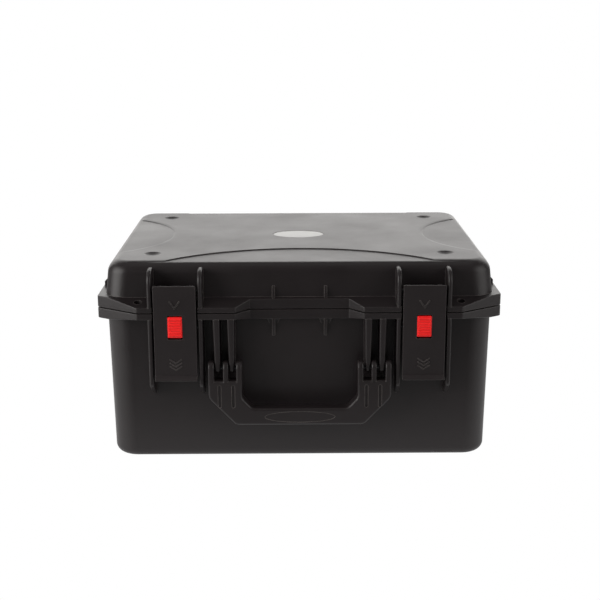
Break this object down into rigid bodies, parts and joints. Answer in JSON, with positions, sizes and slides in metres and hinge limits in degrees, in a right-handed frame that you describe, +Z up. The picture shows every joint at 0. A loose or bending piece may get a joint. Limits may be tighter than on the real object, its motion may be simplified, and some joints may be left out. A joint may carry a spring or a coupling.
{
  "type": "hard tool case with lift-out tray",
  "caption": "Moulded hard case with hinged lid, press-and-pull latches with red buttons, fold-down carrying handle, sealed flange and a lift-out tray inside.",
  "frame": {"origin": "on the floor under the middle of the closed case, latches and rear hinge included", "axes": "+X to the case's right seen from the front, +Y to the rear hinge, +Z up"},
  "size_m": [0.41, 0.3396, 0.2085],
  "materials": {
    "shell_black": "fine moulded grain, semi-matt",
    "latch_black": "fine moulded grain, semi-matt",
    "button_red": "moulded, satin",
    "seal_rubber": "matt",
    "badge_grey": "satin, blank",
    "pin_steel": "black oxide",
    "spring_steel": "drawn wire",
    "tray_plastic": "moulded, matt"
  },
  "bodies": {
    "base": {"base_shell": "shell_black", "handle_pin_left": "pin_steel", "handle_pin_right": "pin_steel", "hinge_pin_left": "pin_steel", "hinge_pin_right": "pin_steel", "catch_bar_left": "pin_steel", "catch_bar_right": "pin_steel"},
    "lid": {"lid_shell": "shell_black", "lid_seal": "seal_rubber", "lid_badge": "badge_grey", "latch_left_pin": "pin_steel", "latch_right_pin": "pin_steel"},
    "latch_left": {"latch_left_lever": "latch_black", "latch_left_trigger_pin": "pin_steel", "latch_left_spring": "spring_steel"},
    "latch_right": {"latch_right_lever": "latch_black", "latch_right_trigger_pin": "pin_steel", "latch_right_spring": "spring_steel"},
    "trigger_left": {"latch_left_trigger": "button_red"},
    "trigger_right": {"latch_right_trigger": "button_red"},
    "handle": {"handle": "shell_black"},
    "tray": {"tray": "tray_plastic", "tray_spine": "tray_plastic"}
  },
  "joints": [
    {"name": "lid_hinge", "type": "hinge", "parent": "base", "child": "lid", "pos_m": [0, 0.16325, 0.1615], "axis": [-1, 0, 0], "range_deg": [0, 100]},
    {"name": "latch_left_swing", "type": "hinge", "parent": "lid", "child": "latch_left", "pos_m": [-0.1242, -0.15425, 0.1815], "axis": [-1, 0, 0], "range_deg": [0, 100]},
    {"name": "latch_right_swing", "type": "hinge", "parent": "lid", "child": "latch_right", "pos_m": [0.1242, -0.15425, 0.1815], "axis": [-1, 0, 0], "range_deg": [0, 100]},
    {"name": "trigger_left_press", "type": "hinge", "parent": "latch_left", "child": "trigger_left", "pos_m": [-0.1242, -0.16005, 0.138], "axis": [-1, 0, 0], "range_deg": [0, 10], "stiffness_Nm_per_rad": 0.6, "springref_deg": -5.73, "deforming": ["latch_left_spring"]},
    {"name": "trigger_right_press", "type": "hinge", "parent": "latch_right", "child": "trigger_right", "pos_m": [0.1242, -0.16005, 0.138], "axis": [-1, 0, 0], "range_deg": [0, 10], "stiffness_Nm_per_rad": 0.6, "springref_deg": -5.73, "deforming": ["latch_right_spring"]},
    {"name": "handle_swing", "type": "hinge", "parent": "base", "child": "handle", "pos_m": [0, -0.16075, 0.104], "axis": [-1, 0, 0], "range_deg": [0, 90]},
    {"name": "tray_lift", "type": "slide", "parent": "base", "child": "tray", "axis": [0, 0, 1], "range_m": [0, 0.02]}
  ]
}
